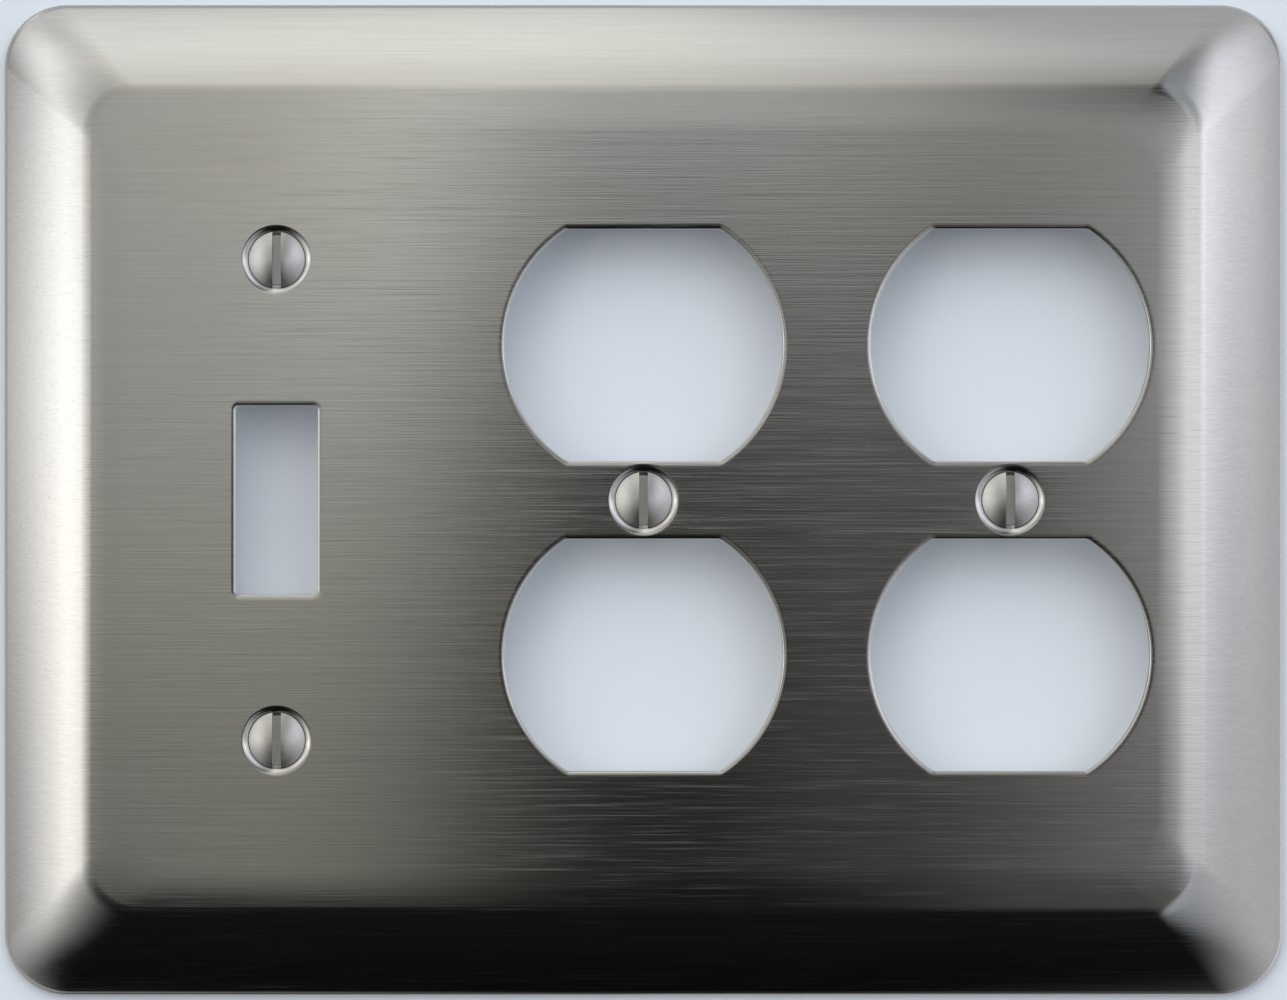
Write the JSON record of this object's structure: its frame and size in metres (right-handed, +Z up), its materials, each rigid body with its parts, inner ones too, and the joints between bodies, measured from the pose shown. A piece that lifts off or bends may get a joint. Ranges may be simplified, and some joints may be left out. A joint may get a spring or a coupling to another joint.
{
  "type": "wall plate cover",
  "caption": "Brushed stainless steel wall plate that covers a toggle switch and two duplex outlets ganged side by side, with its oval head mounting screws.",
  "frame": {"origin": "centre of the plate's rear rim, in the plane of the finished wall", "axes": "+X along the plate's width to the right as seen from the room, +Z up the wall, -Y out of the wall towards the room"},
  "size_m": [0.1618, 0.0137, 0.1254],
  "materials": {
    "brushed_stainless": "satin, brushed along the width",
    "screw_stainless": "satin, lightly polished"
  },
  "bodies": {
    "plate": {"cover_plate": "brushed_stainless"},
    "toggle_screw_upper": {"toggle_screw_upper": "screw_stainless"},
    "toggle_screw_lower": {"toggle_screw_lower": "screw_stainless"},
    "middle_outlet_screw": {"middle_outlet_screw": "screw_stainless"},
    "right_outlet_screw": {"right_outlet_screw": "screw_stainless"}
  },
  "joints": [
    {"name": "toggle_screw_upper_withdraw", "type": "slide", "parent": "plate", "child": "toggle_screw_upper", "axis": [0, -1, 0], "range_m": [0, 0.016]},
    {"name": "toggle_screw_lower_withdraw", "type": "slide", "parent": "plate", "child": "toggle_screw_lower", "axis": [0, -1, 0], "range_m": [0, 0.016]},
    {"name": "middle_outlet_screw_withdraw", "type": "slide", "parent": "plate", "child": "middle_outlet_screw", "axis": [0, -1, 0], "range_m": [0, 0.016]},
    {"name": "right_outlet_screw_withdraw", "type": "slide", "parent": "plate", "child": "right_outlet_screw", "axis": [0, -1, 0], "range_m": [0, 0.016]}
  ]
}
